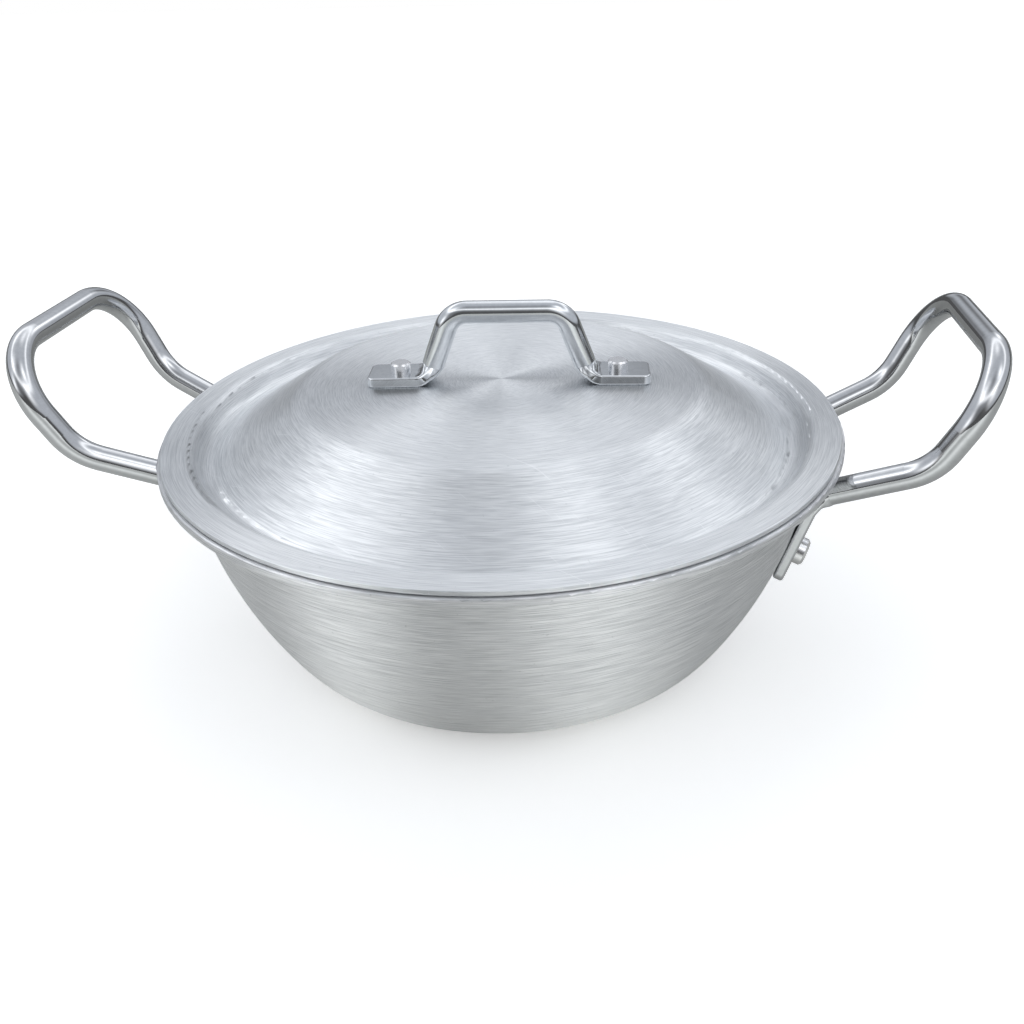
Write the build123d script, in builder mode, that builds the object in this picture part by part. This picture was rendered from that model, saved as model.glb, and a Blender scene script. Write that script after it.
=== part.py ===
from build123d import *
from collections import namedtuple
from math import asin, atan2, copysign, cos, degrees, radians, sin, sqrt, tan
import os

# Kadai: a round-bottomed aluminium pan with a flanged rim, two riveted rod handles and
# a dished lid with a riveted bridge handle. The origin is the middle of the base, +Z is up
# and the side handles lie on the X axis. Lengths are in millimetres, angles in degrees.

# Pan, spun from thick sheet: a flat base, a tight knuckle and a wall of one long sweep.
pan_height = 105.0
rim_radius = 149.4
rim_overhang = 10.9
rim_thickness = 3.4
rim_edge_round = 0.7
rim_root_round = 2.0
mouth_round = 3.5
wall_thickness = 3.0
wall_sweep_radius = 190.0
wall_lean = 6.0
knuckle_radius = 42.0

# Side handles: one round rod bent into a loop and flattened at both ends into tabs.
rod_diameter = 10.8
leg_angle = 15.0
leg_slope = 22.5
rod_rim_gap = 4.2
elbow_reach = 34.6
elbow_radius = 28.0
grip_lean = 62.0
grip_straight = 10.2
grip_corner_radius = 26.6

# The flattened tabs of a side handle, and the bend between rod and tab.
tab_width = 18.5
tab_thickness = 4.4
tab_end = 14.3
tab_corner_round = 4.5
tab_edge_round = 1.2
tab_bend_radius = 12.0
tab_drop = 43.3
tab_bed = 0.15

# Rivets of the side handles, one through each tab.
rivet_shank = 6.0
rivet_head = 12.0
rivet_head_height = 4.3
rivet_bevel = 1.1
rivet_tail = 11.0
rivet_tail_height = 2.0
rivet_tail_bevel = 1.4

# Lid, spun from thinner sheet: a flange, a valley that drops into the mouth, a cone,
# a shoulder and a shallow crown.
lid_thickness = 2.0
lid_seat_gap = 0.4
lid_edge_round = 0.5
lid_mouth_step = 0.6
lid_flange_width = 12.8
lid_flange_bend = 4.0
lid_valley_run = 5.4
lid_valley_drop = 10.0
lid_valley_bend = 5.0
lid_shoulder_radius = 89.5
lid_shoulder_rise = 15.0
lid_shoulder_bend = 12.0
lid_crown = 0.8
lid_turn = 4.0

# Lid handle: a thinner rod bent into a bridge and flattened at both feet.
bridge_rod = 10.0
bridge_height = 31.0
bridge_top_span = 49.0
bridge_foot_span = 71.0
bridge_corner_radius = 10.0
bridge_bend_radius = 8.0
foot_width = 18.6
foot_thickness = 4.4
foot_end = 14.2
foot_corner_round = 3.0
foot_edge_round = 0.8
foot_bed = 0.1
foot_rivet_span = 96.0
bridge_offset = 3.5

# Rivets of the lid handle, one through each foot.
lid_rivet_shank = 5.0
lid_rivet_head = 8.8
lid_rivet_head_height = 4.2
lid_rivet_bevel = 0.7
lid_rivet_tail = 9.0
lid_rivet_tail_height = 1.6
lid_rivet_tail_bevel = 1.1

# How far round its bend each section of the flattening rod stands, and how flat it is.
bend_shares = (0.35, 0.7, 1.0)
flat_shares = (0.53, 0.92, 1.0)

# The round rod's outline is split where the tab's broad faces and narrow edges start.
broad_arc = 64.0
narrow_arc = 20.0

# Every cut runs this far past what it cuts, and a tail is sunk this far before it is cut.
overrun = 15.0
tail_sink = 0.5

Tab = namedtuple("Tab", "width thickness edge_round corner_round")
Rivet = namedtuple("Rivet", "shank head head_height bevel tail tail_height tail_bevel")
side_tab = Tab(tab_width, tab_thickness, tab_edge_round, tab_corner_round)
foot = Tab(foot_width, foot_thickness, foot_edge_round, foot_corner_round)
side_rivet = Rivet(
    rivet_shank,
    rivet_head,
    rivet_head_height,
    rivet_bevel,
    rivet_tail,
    rivet_tail_height,
    rivet_tail_bevel,
)
lid_rivet = Rivet(
    lid_rivet_shank,
    lid_rivet_head,
    lid_rivet_head_height,
    lid_rivet_bevel,
    lid_rivet_tail,
    lid_rivet_tail_height,
    lid_rivet_tail_bevel,
)


def heading(angle):
    """The unit vector of a profile at an angle from its outward axis."""
    return Vector(cos(radians(angle)), sin(radians(angle)))


def on_circle(centre, radius, angle):
    """A point on a circle of a profile, by its angle."""
    return centre + heading(angle) * radius


def arc_points(centre, radius, start, end):
    """Start, middle and end of an arc of a profile."""
    return [on_circle(centre, radius, angle) for angle in (start, (start + end) / 2, end)]


def crossing(point, direction, other_point, other_direction):
    """Where two lines of a profile cross."""
    gap = other_point - point
    spread = direction.cross(other_direction).Z
    return point + direction * (gap.cross(other_direction).Z / spread)


def round_corner(outline, point, radius):
    """Round the corner of an outline that lies nearest a point."""
    fillet(outline.vertices().sort_by_distance(point)[0], radius=radius)


def radial_plane(angle, middle=Vector(0, 0, 0)):
    """The upright plane through a middle at an angle: its X runs outwards and its Y up."""
    outward = heading(angle)
    return Plane(origin=middle, x_dir=outward, z_dir=outward.cross(Vector(0, 0, 1)))


def in_space(profile, direction):
    """A direction of a profile, turned into the object's frame."""
    return profile.x_dir * direction.X + profile.y_dir * direction.Y


def square_plane(profile, point, direction):
    """The plane square to a direction of a profile at a point of it. Its X runs across."""
    return Plane(
        origin=profile.from_local_coords(point),
        x_dir=profile.z_dir,
        z_dir=in_space(profile, direction),
    )


# The wall's sweep starts at the rim's underside and runs down into the knuckle, and the
# knuckle into the base, where their curves share a tangent.
rim_underside = pan_height - rim_thickness
wall_top = Vector(rim_radius - rim_overhang, rim_underside)
sweep_centre = wall_top - heading(-wall_lean) * wall_sweep_radius
centre_spacing = wall_sweep_radius - knuckle_radius
centre_rise = sweep_centre.Y - knuckle_radius
base_radius = sweep_centre.X + sqrt(centre_spacing**2 - centre_rise**2)
knuckle_centre = Vector(base_radius, knuckle_radius)
join_angle = -degrees(atan2(centre_rise, base_radius - sweep_centre.X))


def sweep_angle(radius, height):
    """The angle at which a circle about the sweep's centre passes a height."""
    return degrees(asin((height - sweep_centre.Y) / radius))


def bowl_curve(inset, height):
    """Half of the bowl's outline, set in from the outer face, from the axis up to a height."""
    sweep_radius = wall_sweep_radius - inset
    top_angle = sweep_angle(sweep_radius, height)
    Line((0, inset), (base_radius, inset))
    ThreePointArc(*arc_points(knuckle_centre, knuckle_radius - inset, -90, join_angle))
    ThreePointArc(*arc_points(sweep_centre, sweep_radius, join_angle, top_angle))


# Where a side tab sits: its rivet's middle on the wall, and which way the wall faces there.
inner_radius = wall_sweep_radius - wall_thickness
mouth = on_circle(sweep_centre, inner_radius, sweep_angle(inner_radius, pan_height))
seat_angle = sweep_angle(wall_sweep_radius, pan_height - tab_drop)
seat = on_circle(sweep_centre, wall_sweep_radius, seat_angle)
seat_normal = heading(seat_angle)
leg_profiles = {
    "right_front": radial_plane(-leg_angle),
    "right_back": radial_plane(leg_angle),
    "left_back": radial_plane(180 - leg_angle),
    "left_front": radial_plane(180 + leg_angle),
}

with BuildPart() as pan:
    with BuildSketch(Plane.XZ) as pan_profile:
        with BuildLine():
            bowl_curve(0, rim_underside)
            Polyline(wall_top, (rim_radius, rim_underside), (rim_radius, pan_height), mouth)
            bowl_curve(wall_thickness, pan_height)
            Line((0, 0), (0, wall_thickness))
        make_face()
        round_corner(pan_profile, wall_top, rim_root_round)
        round_corner(pan_profile, mouth, mouth_round)
        fillet(pan_profile.vertices().group_by(Axis.X)[-1], radius=rim_edge_round)
    revolve(axis=Axis.Z)
    for profile in leg_profiles.values():
        with BuildSketch(square_plane(profile, seat, seat_normal)):
            Circle(rivet_shank / 2)
        extrude(amount=overrun, both=True, mode=Mode.SUBTRACT)
pan.part.label = "pan"

# The solid form inside the wall's outer face, which the tabs are bedded on.
with BuildPart() as bowl_form:
    with BuildSketch(Plane.XZ):
        with BuildLine():
            bowl_curve(0, rim_underside)
            Polyline(wall_top, (0, rim_underside), (0, 0))
        make_face()
    revolve(axis=Axis.Z)

# Lid profile, above the underside of its flange. The sheet's top face is drawn, and the
# underside runs one thickness below it.
lid_bottom = pan_height + lid_seat_gap
flange_top = lid_bottom + lid_thickness
flange_inner = Vector(mouth.X - lid_mouth_step, flange_top)
lid_radius = flange_inner.X + lid_flange_width
valley = flange_inner - Vector(lid_valley_run, lid_valley_drop)
shoulder = Vector(lid_shoulder_radius, flange_top + lid_shoulder_rise)
apex = Vector(0, shoulder.Y + lid_crown)
crown_radius = (shoulder.X**2 + lid_crown**2) / (2 * lid_crown)
crown_centre = apex - Vector(0, crown_radius)


def crown_angle(radius):
    """The angle at which the crown passes a distance from the axis."""
    return 90 - degrees(asin(radius / crown_radius))


foot_angle = crown_angle(foot_rivet_span / 2)
foot_seat = on_circle(crown_centre, crown_radius, foot_angle)
foot_normal = heading(foot_angle)
foot_middle = heading(lid_turn) * bridge_offset
foot_profiles = {
    "right": radial_plane(lid_turn, foot_middle),
    "left": radial_plane(180 + lid_turn, foot_middle),
}

with BuildPart() as lid:
    with BuildSketch(Plane.XZ) as lid_profile:
        with BuildLine() as top_face:
            Polyline((lid_radius, flange_top), flange_inner, valley, shoulder)
            ThreePointArc(*arc_points(crown_centre, crown_radius, crown_angle(shoulder.X), 90))
            round_corner(top_face, flange_inner, lid_flange_bend)
            round_corner(top_face, valley, lid_valley_bend)
            round_corner(top_face, shoulder, lid_shoulder_bend)
            offset(amount=lid_thickness, side=Side.LEFT)
        make_face()
        fillet(lid_profile.vertices().group_by(Axis.X)[-1], radius=lid_edge_round)
    revolve(axis=Axis.Z)
    for profile in foot_profiles.values():
        with BuildSketch(square_plane(profile, foot_seat, foot_normal)):
            Circle(lid_rivet_shank / 2)
        extrude(amount=overrun, both=True, mode=Mode.SUBTRACT)
lid.part.label = "lid"


class Bend:
    """The bend between a rod and its tab, in a profile. Both headings run towards the tab's
    tip, and the corner is where the two centre lines would meet."""

    def __init__(self, corner, leg_heading, tab_heading, radius):
        self.leg_heading = leg_heading
        self.tab_heading = tab_heading
        self.turn = leg_heading.get_signed_angle(tab_heading, Vector(0, 0, 1))
        tangent = radius * tan(radians(abs(self.turn)) / 2)
        self.start = corner - leg_heading * tangent
        self.end = corner + tab_heading * tangent
        self.centre = self.start + leg_heading.rotate(Axis.Z, copysign(90, self.turn)) * radius

    def at(self, share):
        """The centre line's point and heading, some share of the way round."""
        spoke = (self.start - self.centre).rotate(Axis.Z, self.turn * share)
        return self.centre + spoke, self.leg_heading.rotate(Axis.Z, self.turn * share)


def split_circle(radius):
    """A round outline in eight arcs, one for each side and corner of a rounded rectangle."""
    corner_arc = (180 - broad_arc - narrow_arc) / 2
    start = -narrow_arc / 2
    for size in (narrow_arc, corner_arc, broad_arc, corner_arc) * 2:
        CenterArc((0, 0), radius, start, size)
        start += size


def flattening(profile, bend, rod, tab):
    """The stretch of a rod that flattens into its tab along the bend."""
    with BuildPart() as stretch:
        with BuildSketch(square_plane(profile, bend.start, bend.leg_heading)):
            with BuildLine():
                split_circle(rod / 2)
            make_face()
        for bend_share, flat_share in zip(bend_shares, flat_shares):
            point, ahead = bend.at(bend_share)
            with BuildSketch(square_plane(profile, point, ahead)):
                RectangleRounded(
                    rod + (tab.width - rod) * flat_share,
                    rod + (tab.thickness - rod) * flat_share,
                    rod / 2 + (tab.edge_round - rod / 2) * flat_share,
                )
        loft()
    return stretch.part


def flat_tab(profile, bend, tip, tab):
    """The flat stretch of a rod from its bend to its tip, with rounded corners and rims."""
    along = in_space(profile, bend.tab_heading)
    start = profile.from_local_coords(bend.end)
    face = Plane(start, x_dir=profile.z_dir, z_dir=profile.z_dir.cross(along))
    with BuildPart() as flat:
        with BuildSketch(face) as outline:
            Rectangle(tab.width, (tip - bend.end).length, align=(Align.CENTER, Align.MIN))
            fillet(outline.vertices().group_by(Axis.Y)[-1], radius=tab.corner_round)
        extrude(amount=tab.thickness / 2, both=True)
        rims = flat.faces().filter_by(face).edges()
        fillet(rims.group_by(Axis(start, along))[1:], radius=tab.edge_round)
    return flat.part


def bent_rod(points, radii, rod, ends, tab, bed, rivet_planes, shank):
    """A rod swept along its centre line, with both ends flattened into tabs that are bedded
    on what carries them and drilled for their rivets."""
    with BuildPart() as handle:
        with BuildLine() as centre_line:
            FilletPolyline(*points, radius=radii)
        path = centre_line.wire()
        with BuildSketch(Plane(path @ 0, z_dir=path % 0)):
            Circle(rod / 2)
        sweep(path=path)
        for profile, bend, tip in ends:
            add(flattening(profile, bend, rod, tab))
            add(flat_tab(profile, bend, tip, tab))
        add(bed, mode=Mode.SUBTRACT)
        for plane in rivet_planes:
            with BuildSketch(plane):
                Circle(shank / 2)
            extrude(amount=overrun, both=True, mode=Mode.SUBTRACT)
    return handle.part


# Side handle. Its leg passes below the rim's edge by a named gap and turns up at the elbow,
# and the grip's two corners lead into a straight bar.
tab_heading = heading(seat_angle - 90)
tab_middle = seat + seat_normal * (tab_thickness / 2 - tab_bed)
leg_heading = heading(180 + leg_slope)
rod_offset = rod_diameter / 2 + rod_rim_gap
leg_point = Vector(rim_radius, rim_underside) + heading(leg_slope - 90) * rod_offset
side_corner = crossing(tab_middle, tab_heading, leg_point, leg_heading)
side_bend = Bend(side_corner, leg_heading, tab_heading, tab_bend_radius)
tab_tip = tab_middle + tab_heading * tab_end
front_leg = leg_profiles["right_front"]
back_leg = leg_profiles["right_back"]
elbow = crossing(Vector(rim_radius + elbow_reach, 0), Vector(0, 1), leg_point, leg_heading)
elbow_turn = grip_lean - leg_slope
corner_turn = in_space(front_leg, heading(grip_lean)).get_angle(Vector(0, 1, 0))
grip_run = (
    elbow_radius * tan(radians(elbow_turn) / 2)
    + grip_straight
    + grip_corner_radius * tan(radians(corner_turn) / 2)
)
grip_corner = elbow + heading(grip_lean) * grip_run
leg_places = [side_bend.start, elbow, grip_corner]
side_points = [front_leg.from_local_coords(place) for place in leg_places]
side_points += [back_leg.from_local_coords(place) for place in reversed(leg_places)]
right_handle_part = bent_rod(
    side_points,
    [elbow_radius, grip_corner_radius, grip_corner_radius, elbow_radius],
    rod_diameter,
    [(profile, side_bend, tab_tip) for profile in (front_leg, back_leg)],
    side_tab,
    bowl_form.part,
    [square_plane(profile, seat, seat_normal) for profile in (front_leg, back_leg)],
    rivet_shank,
)

# Lid handle. Its feet lie along the crown, and its legs lean in to the bar.
foot_heading = heading(foot_angle - 90)
foot_centre = foot_seat + foot_normal * (foot_thickness / 2 - foot_bed)
bar_end = Vector(bridge_top_span / 2, apex.Y + bridge_height)
foot_corner = crossing(Vector(bridge_foot_span / 2, 0), Vector(0, 1), foot_centre, foot_heading)
bridge_heading = (foot_corner - bar_end).normalized()
foot_bend = Bend(foot_corner, bridge_heading, foot_heading, bridge_bend_radius)
foot_tip = foot_centre + foot_heading * foot_end
right_foot = foot_profiles["right"]
left_foot = foot_profiles["left"]
bridge_places = [foot_bend.start, bar_end]
bridge_points = [right_foot.from_local_coords(place) for place in bridge_places]
bridge_points += [left_foot.from_local_coords(place) for place in reversed(bridge_places)]
lid_handle_part = bent_rod(
    bridge_points,
    [bridge_corner_radius, bridge_corner_radius],
    bridge_rod,
    [(profile, foot_bend, foot_tip) for profile in (right_foot, left_foot)],
    foot,
    lid.part,
    [square_plane(profile, foot_seat, foot_normal) for profile in (right_foot, left_foot)],
    lid_rivet_shank,
)


def rivet_at(plane, grip, wall, rivet, seat_part):
    """A rivet upset through a tab and the wall under it. Its plane lies on the wall's outer
    face, the head stands on the tab and the bevelled tail is bedded inside the wall."""
    tail_plane = plane.offset(tail_sink - wall)
    with BuildPart() as body:
        with BuildSketch(tail_plane):
            Circle(rivet.tail / 2)
        extrude(amount=-rivet.tail_height - tail_sink)
        inner_rim = body.faces().sort_by(Axis(plane.origin, plane.z_dir))[0].edges()
        chamfer(inner_rim, length=rivet.tail_bevel)
        add(seat_part, mode=Mode.SUBTRACT)
        with BuildSketch(tail_plane):
            Circle(rivet.shank / 2)
        extrude(amount=wall - tail_sink + grip)
        with BuildSketch(plane.offset(grip)):
            Circle(rivet.head / 2)
        extrude(amount=rivet.head_height)
        outer_rim = body.faces().sort_by(Axis(plane.origin, plane.z_dir))[-1].edges()
        chamfer(outer_rim, length=rivet.bevel)
    return body.part


pieces = {
    "pan": pan.part,
    "right_handle": right_handle_part,
    "left_handle": mirror(right_handle_part, about=Plane.YZ),
    "lid": lid.part,
    "lid_handle": lid_handle_part,
}
for place, profile in leg_profiles.items():
    plane = square_plane(profile, seat, seat_normal)
    grip = tab_thickness - tab_bed
    pieces["rivet_" + place] = rivet_at(plane, grip, wall_thickness, side_rivet, pan.part)
for place, profile in foot_profiles.items():
    plane = square_plane(profile, foot_seat, foot_normal)
    grip = foot_thickness - foot_bed
    pieces["lid_rivet_" + place] = rivet_at(plane, grip, lid_thickness, lid_rivet, lid.part)

os.makedirs("parts", exist_ok=True)
for name, piece in pieces.items():
    piece.label = name
    export_step(piece, "parts/" + name + ".step")
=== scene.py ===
import math

import bpy
from mathutils import Matrix, Vector

# Kadai with a spun lid. Lengths are in metres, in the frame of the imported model.

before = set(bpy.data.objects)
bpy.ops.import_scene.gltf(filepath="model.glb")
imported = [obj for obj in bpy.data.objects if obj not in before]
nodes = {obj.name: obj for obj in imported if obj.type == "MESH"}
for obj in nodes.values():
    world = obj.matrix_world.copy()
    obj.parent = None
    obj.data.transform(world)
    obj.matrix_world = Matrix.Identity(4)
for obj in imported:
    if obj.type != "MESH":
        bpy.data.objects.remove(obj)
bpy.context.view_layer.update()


# Small helpers for node trees. A value is a constant or the output of another node.
def empty_tree(owner):
    """The emptied node tree of a material or a world."""
    owner.use_nodes = True
    owner.node_tree.nodes.clear()
    return owner.node_tree


def fill(tree, node, values):
    """Links or sets the inputs of a node, which values has by name or by number."""
    for key, value in values.items():
        if isinstance(value, bpy.types.NodeSocket):
            tree.links.new(value, node.inputs[key])
        else:
            node.inputs[key].default_value = value


def add(tree, kind, values=None, **settings):
    """A new shader node with its settings and inputs."""
    node = tree.nodes.new("ShaderNode" + kind)
    for name, value in settings.items():
        setattr(node, name, value)
    fill(tree, node, values or {})
    return node


def maths(tree, operation, *values, clamp=False):
    node = add(tree, "Math", dict(enumerate(values)), operation=operation, use_clamp=clamp)
    return node.outputs[0]


def plus(tree, first, second, clamp=False):
    return maths(tree, "ADD", first, second, clamp=clamp)


def minus(tree, first, second, clamp=False):
    return maths(tree, "SUBTRACT", first, second, clamp=clamp)


def times(tree, first, second):
    return maths(tree, "MULTIPLY", first, second)


def vector_maths(tree, operation, *values, output="Vector"):
    node = add(tree, "VectorMath", dict(enumerate(values)), operation=operation)
    return node.outputs[output]


def scaled(tree, vector, factor):
    values = {"Vector": vector, "Scale": factor}
    return add(tree, "VectorMath", values, operation="SCALE").outputs["Vector"]


def turned(tree, vector, degrees):
    """The vector turned about Z."""
    values = {"Vector": vector, "Axis": (0.0, 0.0, 1.0), "Angle": math.radians(degrees)}
    return add(tree, "VectorRotate", values).outputs["Vector"]


def noise(tree, vector, scale=1.0, detail=2.0, roughness=0.5):
    values = {"Vector": vector, "Scale": scale, "Detail": detail, "Roughness": roughness}
    return add(tree, "TexNoise", values).outputs["Fac"]


def remap(tree, value, span, target=(0.0, 1.0)):
    """The value moved from its span to the target's, and kept within it."""
    values = {
        "Value": value,
        "From Min": span[0],
        "From Max": span[1],
        "To Min": target[0],
        "To Max": target[1],
    }
    return add(tree, "MapRange", values).outputs["Result"]


def bumped(tree, height, strength, distance):
    """The surface's direction with small bumps of this height."""
    values = {"Strength": strength, "Distance": distance, "Height": height}
    return add(tree, "Bump", values).outputs["Normal"]


def rgba(colour):
    return (*colour, 1.0)


white = rgba((1.0, 1.0, 1.0))


def blend_colour(tree, share, first, second):
    """From the first colour, where share is 0, to the second, where it is 1."""
    # A Mix node has sockets for each data type: for colours, inputs 0, 6 and 7 and output 2
    values = {0: share, 6: rgba(first), 7: rgba(second)}
    return add(tree, "Mix", values, data_type="RGBA").outputs[2]


def both_shaders(tree, first, second):
    return add(tree, "AddShader", {0: first.outputs[0], 1: second.outputs[0]}).outputs[0]


def metal(name):
    """A new material; gives also its tree, its shader and the point on the object."""
    material = bpy.data.materials.new(name)
    tree = empty_tree(material)
    shader = add(tree, "BsdfPrincipled", {"Metallic": 1.0})
    add(tree, "OutputMaterial", {"Surface": shader.outputs[0]})
    point = add(tree, "TexCoord").outputs["Object"]
    return material, tree, shader, point


# Spun sheet. A span is the part of a noise's range that leaves a mark.
sheet_roughness = 0.40
sheet_anisotropy = 0.9
quarter_turn = 0.25
fine_share = 0.9
line_span = (0.37, 0.63)
spot_scale = 520.0
spot_span = (0.74, 0.80)
spot_darkness = 0.45
scratch_slant = 35.0
scratch_scales = (22.0, 1500.0, 150.0)
scratch_span = (0.78, 0.84)
band_span = (0.3, 0.7)
line_gloss_span = (0.35, 0.65)
roughness_swing = 0.03
brush_strength = 0.3
brush_depth = 0.000012


def spun_metal(name, bright, dark, rise, scratches=0.0):
    """Sheet that was spun and brushed round the Z axis: fine rings, each a bit uneven.

    The rings follow the radius plus rise times the height, so that steep walls have them too.
    scratches is how far a scratch brightens the colour.
    """
    material, tree, shader, point = metal(name)
    split = add(tree, "SeparateXYZ", {"Vector": point})
    flat = add(tree, "CombineXYZ", {"X": split.outputs["X"], "Y": split.outputs["Y"]}).outputs[0]
    radius = vector_maths(tree, "LENGTH", flat, output="Value")
    heading = vector_maths(tree, "NORMALIZE", flat)
    along = plus(tree, radius, times(tree, split.outputs["Z"], rise))

    def rings(pitch, turns, **kind):
        """Noise that changes with each pitch across the rings, and slowly round them."""
        steps = add(tree, "CombineXYZ", {"Z": maths(tree, "DIVIDE", along, pitch)}).outputs[0]
        around = scaled(tree, heading, turns)
        return noise(tree, vector_maths(tree, "ADD", around, steps), **kind)

    fine = rings(pitch=0.00032, turns=7.0, detail=2.0, roughness=0.7)
    broad = rings(pitch=0.0007, turns=4.5, detail=1.0, roughness=0.5)
    bands = rings(pitch=0.012, turns=1.2, detail=2.0, roughness=0.5)
    lines = plus(tree, times(tree, fine, fine_share), times(tree, broad, 1.0 - fine_share))

    shade = remap(tree, lines, line_span)
    specks = noise(tree, point, scale=spot_scale, detail=1.0)
    spots = remap(tree, specks, spot_span, (0.0, spot_darkness))
    shade = minus(tree, shade, spots, clamp=True)
    if scratches:
        slant = vector_maths(tree, "MULTIPLY", turned(tree, point, scratch_slant), scratch_scales)
        marks = remap(tree, noise(tree, slant, detail=0.0), scratch_span, (0.0, scratches))
        shade = plus(tree, shade, marks, clamp=True)

    uneven = remap(tree, bands, band_span, (-roughness_swing, roughness_swing))
    glossy = remap(tree, lines, line_gloss_span, (roughness_swing, -roughness_swing))
    # The tangent follows the rings, and the quarter turn makes the highlights run across them
    tangent = add(tree, "Tangent", direction_type="RADIAL", axis="Z")
    finish = {
        "Base Color": blend_colour(tree, shade, dark, bright),
        "Roughness": plus(tree, plus(tree, uneven, sheet_roughness), glossy),
        "Normal": bumped(tree, lines, brush_strength, brush_depth),
        "Anisotropic": sheet_anisotropy,
        "Anisotropic Rotation": quarter_turn,
        "Tangent": tangent.outputs[0],
    }
    fill(tree, shader, finish)
    return material


# Polished rods and rivets
wave_scale = 70.0
wipe_scale = 420.0
wipe_span = (0.3, 0.7)
wipe_gloss_span = (0.3, 0.75)
wipe_roughness = (-0.02, 0.03)
wave_strength = 0.4


def polished_metal(name, bright, dark, roughness, wave_depth):
    """Drawn and polished metal: slow waves in the polish and faint wipes."""
    material, tree, shader, point = metal(name)
    waves = noise(tree, point, scale=wave_scale, detail=2.0)
    wipes = noise(tree, point, scale=wipe_scale, detail=3.0, roughness=0.65)
    shade = remap(tree, wipes, wipe_span)
    uneven = remap(tree, wipes, wipe_gloss_span, wipe_roughness)
    finish = {
        "Base Color": blend_colour(tree, shade, dark, bright),
        "Roughness": plus(tree, uneven, roughness),
        "Normal": bumped(tree, waves, wave_strength, wave_depth),
    }
    fill(tree, shader, finish)
    return material


pan_metal = spun_metal(
    "spun_pan",
    bright=(0.95, 0.955, 0.97),
    dark=(0.60, 0.61, 0.625),
    rise=1.0,
)
lid_metal = spun_metal(
    "spun_lid",
    bright=(0.905, 0.922, 0.935),
    dark=(0.675, 0.695, 0.712),
    rise=0.25,
    scratches=0.45,
)
rod_metal = polished_metal(
    "polished_rod",
    bright=(0.63, 0.64, 0.655),
    dark=(0.57, 0.58, 0.595),
    roughness=0.055,
    wave_depth=0.00006,
)
bridge_metal = polished_metal(
    "polished_bridge",
    bright=(0.68, 0.70, 0.72),
    dark=(0.61, 0.63, 0.65),
    roughness=0.06,
    wave_depth=0.00006,
)
rivet_metal = polished_metal(
    "satin_rivet",
    bright=(0.88, 0.88, 0.89),
    dark=(0.80, 0.80, 0.81),
    roughness=0.24,
    wave_depth=0.00003,
)

# Every node that isn't named here is a rivet
finishes = {
    "pan": pan_metal,
    "lid": lid_metal,
    "right_handle": rod_metal,
    "left_handle": rod_metal,
    "lid_handle": bridge_metal,
}
for name, node in nodes.items():
    node.data.materials[0] = finishes.get(name, rivet_metal)


# Light by its heading. Azimuths and elevations are in degrees.
def toward(azimuth, elevation):
    a, e = math.radians(azimuth), math.radians(elevation)
    return Vector((math.cos(a) * math.cos(e), math.sin(a) * math.cos(e), math.sin(e)))


def lobe(tree, ray, azimuth, elevation, sharpness):
    """1 towards the given heading, falling off softly round it."""
    heading = toward(azimuth, elevation)
    facing = vector_maths(tree, "DOT_PRODUCT", ray, heading, output="Value")
    return maths(tree, "EXPONENT", times(tree, minus(tree, facing, 1.0), sharpness))


def lobes(tree, ray, rows, level):
    """The level with a lobe added for each row of azimuth, elevation, sharpness and strength."""
    for azimuth, elevation, sharpness, strength in rows:
        light = times(tree, lobe(tree, ray, azimuth, elevation, sharpness), strength)
        level = plus(tree, level, light)
    return level


def belt(tree, ray, height, width, strength):
    """A soft level belt of light round the sky."""
    rise = add(tree, "SeparateXYZ", {"Vector": ray}).outputs["Z"]
    away = maths(tree, "DIVIDE", minus(tree, rise, height), width)
    fall = maths(tree, "EXPONENT", times(tree, times(tree, away, away), -1.0))
    return times(tree, fall, strength)


# How much of the white backdrop metal and glass show
glossy_share = 0.10


def ray_shares(tree):
    """Two shares by the kind of ray.

    mirrored is 1 for what metal and glass show, and otherwise 0. backdrop is 1 for the camera,
    glossy_share for metal and glass, and 0 for the light that falls on the object.
    """
    path = add(tree, "LightPath")
    shown = [path.outputs[kind] for kind in ("Is Glossy Ray", "Is Transmission Ray")]
    mirrored = maths(tree, "MAXIMUM", *shown)
    in_metal = times(tree, mirrored, glossy_share)
    backdrop = maths(tree, "MAXIMUM", path.outputs["Is Camera Ray"], in_metal)
    return mirrored, backdrop


# Floor. Metal shows it darker and warmer, in painted shade, with painted pools of light and a
# painted dark far side round the object, as rows of azimuth, elevation, sharpness and strength.
floor_half = 6.0
floor_drop = 0.0002
floor_albedo = 0.93
floor_glow = 0.34
floor_blue = 0.985
painted_floor_shade = 0.64
painted_warmth = 0.05
painted_light_and_shade = [
    (-172, 0, 20, 0.10),
    (-126, 0, 20, 0.62),
    (-60, 0, 14, 0.64),
    (90, 0, 1.2, -0.36),
]


def paint_floor():
    material = bpy.data.materials.new("floor_paint")
    tree = empty_tree(material)
    mirrored, backdrop = ray_shares(tree)
    around = vector_maths(tree, "NORMALIZE", add(tree, "TexCoord").outputs["Object"])
    # Painted pools of light, painted shade and a painted warmer tint on the floor, which only
    # metal shows
    in_metal = lobes(tree, around, painted_light_and_shade, painted_floor_shade)
    painted_dimming = times(tree, minus(tree, 1.0, in_metal), mirrored)
    albedo = times(tree, minus(tree, 1.0, painted_dimming), floor_albedo)
    blue = minus(tree, floor_blue, times(tree, mirrored, painted_warmth))
    paint = {"Red": albedo, "Green": albedo, "Blue": times(tree, albedo, blue)}
    diffuse = add(tree, "BsdfDiffuse", {"Color": add(tree, "CombineColor", paint).outputs[0]})
    strength = times(tree, backdrop, floor_glow)
    glow = add(tree, "Emission", {"Color": white, "Strength": strength})
    add(tree, "OutputMaterial", {"Surface": both_shaders(tree, diffuse, glow)})
    return material


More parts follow.
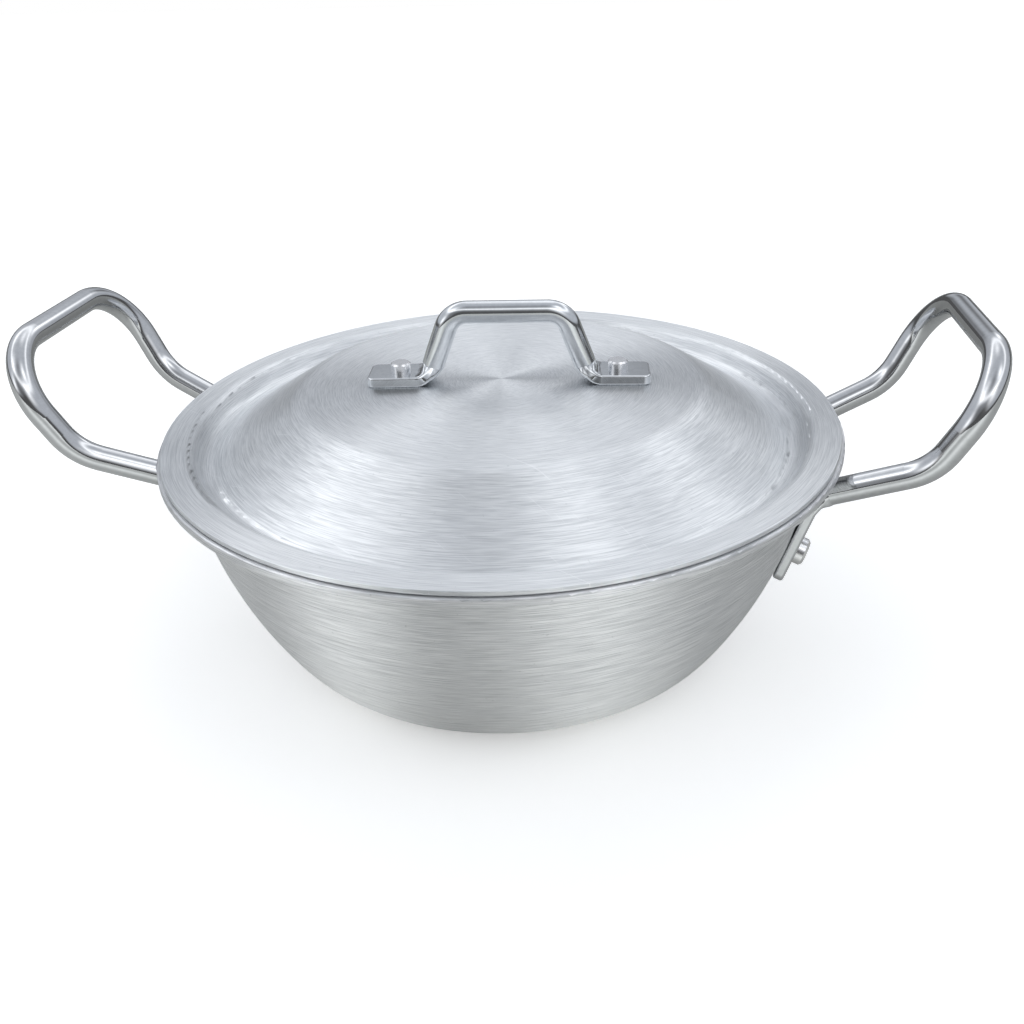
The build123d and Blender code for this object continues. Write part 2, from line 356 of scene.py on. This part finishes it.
corners = [(-1, -1), (1, -1), (1, 1), (-1, 1)]
places = [(x * floor_half, y * floor_half, -floor_drop) for x, y in corners]
floor_mesh = bpy.data.meshes.new("floor")
floor_mesh.from_pydata(places, [], [(0, 1, 2, 3)])
floor = bpy.data.objects.new("floor", floor_mesh)
bpy.context.scene.collection.objects.link(floor)
floor_mesh.materials.append(paint_floor())


# World: white to the camera, and a studio room round the object. The room has a dark line all
# round at the horizon and a thin ring of light higher up, each as height, width and strength.
# The dark gaps and the soft boxes are rows of azimuth, elevation, sharpness and strength.
room_level = 0.74
darkest = 0.02
wall_tint = (0.92, 0.97, 1.06)
horizon = (0.05, 0.08, 0.80)
ring = (0.69, 0.075, 0.95)
gaps = [
    (-92, 5, 7, 0.80),
    (82, 20, 89, 0.50),
    (125, 27, 21, 0.12),
    (108, 12, 90, 0.45),
    (44, 6, 33, 0.40),
    (-98, 66, 37, 0.30),
    (-129, 28, 24, 0.30),
]
boxes = [
    (-29, 60, 60, 1.40),
    (142, 44, 26, 0.55),
    (88, 60, 50, 0.85),
    (66, 30, 150, 1.60),
    (-63, 36, 28, 1.10),
    (-147, 14, 47, 1.20),
    (-151, 49, 34, 0.90),
]


def studio_world():
    world = bpy.data.worlds.new("studio")
    tree = empty_tree(world)
    ray = vector_maths(tree, "NORMALIZE", add(tree, "TexCoord").outputs["Generated"])
    shade = plus(tree, lobes(tree, ray, gaps, 0.0), belt(tree, ray, *horizon))
    # Metal has glossy_share from the white backdrop already
    level = maths(tree, "MAXIMUM", minus(tree, room_level - glossy_share, shade), darkest)
    light = lobes(tree, ray, boxes, belt(tree, ray, *ring))
    walls = add(tree, "Background", {"Color": rgba(wall_tint), "Strength": level})
    lamps = add(tree, "Background", {"Color": white, "Strength": light})
    white_sheet = add(tree, "Background", {"Color": white, "Strength": 1.0})
    _, backdrop = ray_shares(tree)
    values = {0: backdrop, 1: both_shaders(tree, walls, lamps), 2: white_sheet.outputs[0]}
    mix = add(tree, "MixShader", values)
    add(tree, "OutputWorld", {"Surface": mix.outputs[0]})
    return world


bpy.context.scene.world = studio_world()


# Camera at the photograph's angle. Its turns are in radians.
yaw, pitch, roll = -0.103, 0.424, -0.024
camera_place = Vector((0.06249, -0.43713, 0.29745))
camera_data = bpy.data.cameras.new("camera")
camera_data.sensor_width = 36.0
camera_data.lens = 37.43
camera_data.shift_x = -0.02887
camera_data.shift_y = -0.08169
camera = bpy.data.objects.new("camera", camera_data)
bpy.context.scene.collection.objects.link(camera)
bpy.context.scene.camera = camera
aside, ahead = math.sin(yaw) * math.cos(pitch), math.cos(yaw) * math.cos(pitch)
forward = Vector((aside, ahead, -math.sin(pitch)))
sideways = Vector((math.cos(yaw), -math.sin(yaw), 0.0))
upright = sideways.cross(forward)
right = sideways * math.cos(roll) + upright * math.sin(roll)
up = upright * math.cos(roll) - sideways * math.sin(roll)
turn = Matrix((right, up, -forward)).transposed().to_4x4()
camera.matrix_world = Matrix.Translation(camera_place) @ turn

bpy.context.scene.view_settings.view_transform = "Standard"
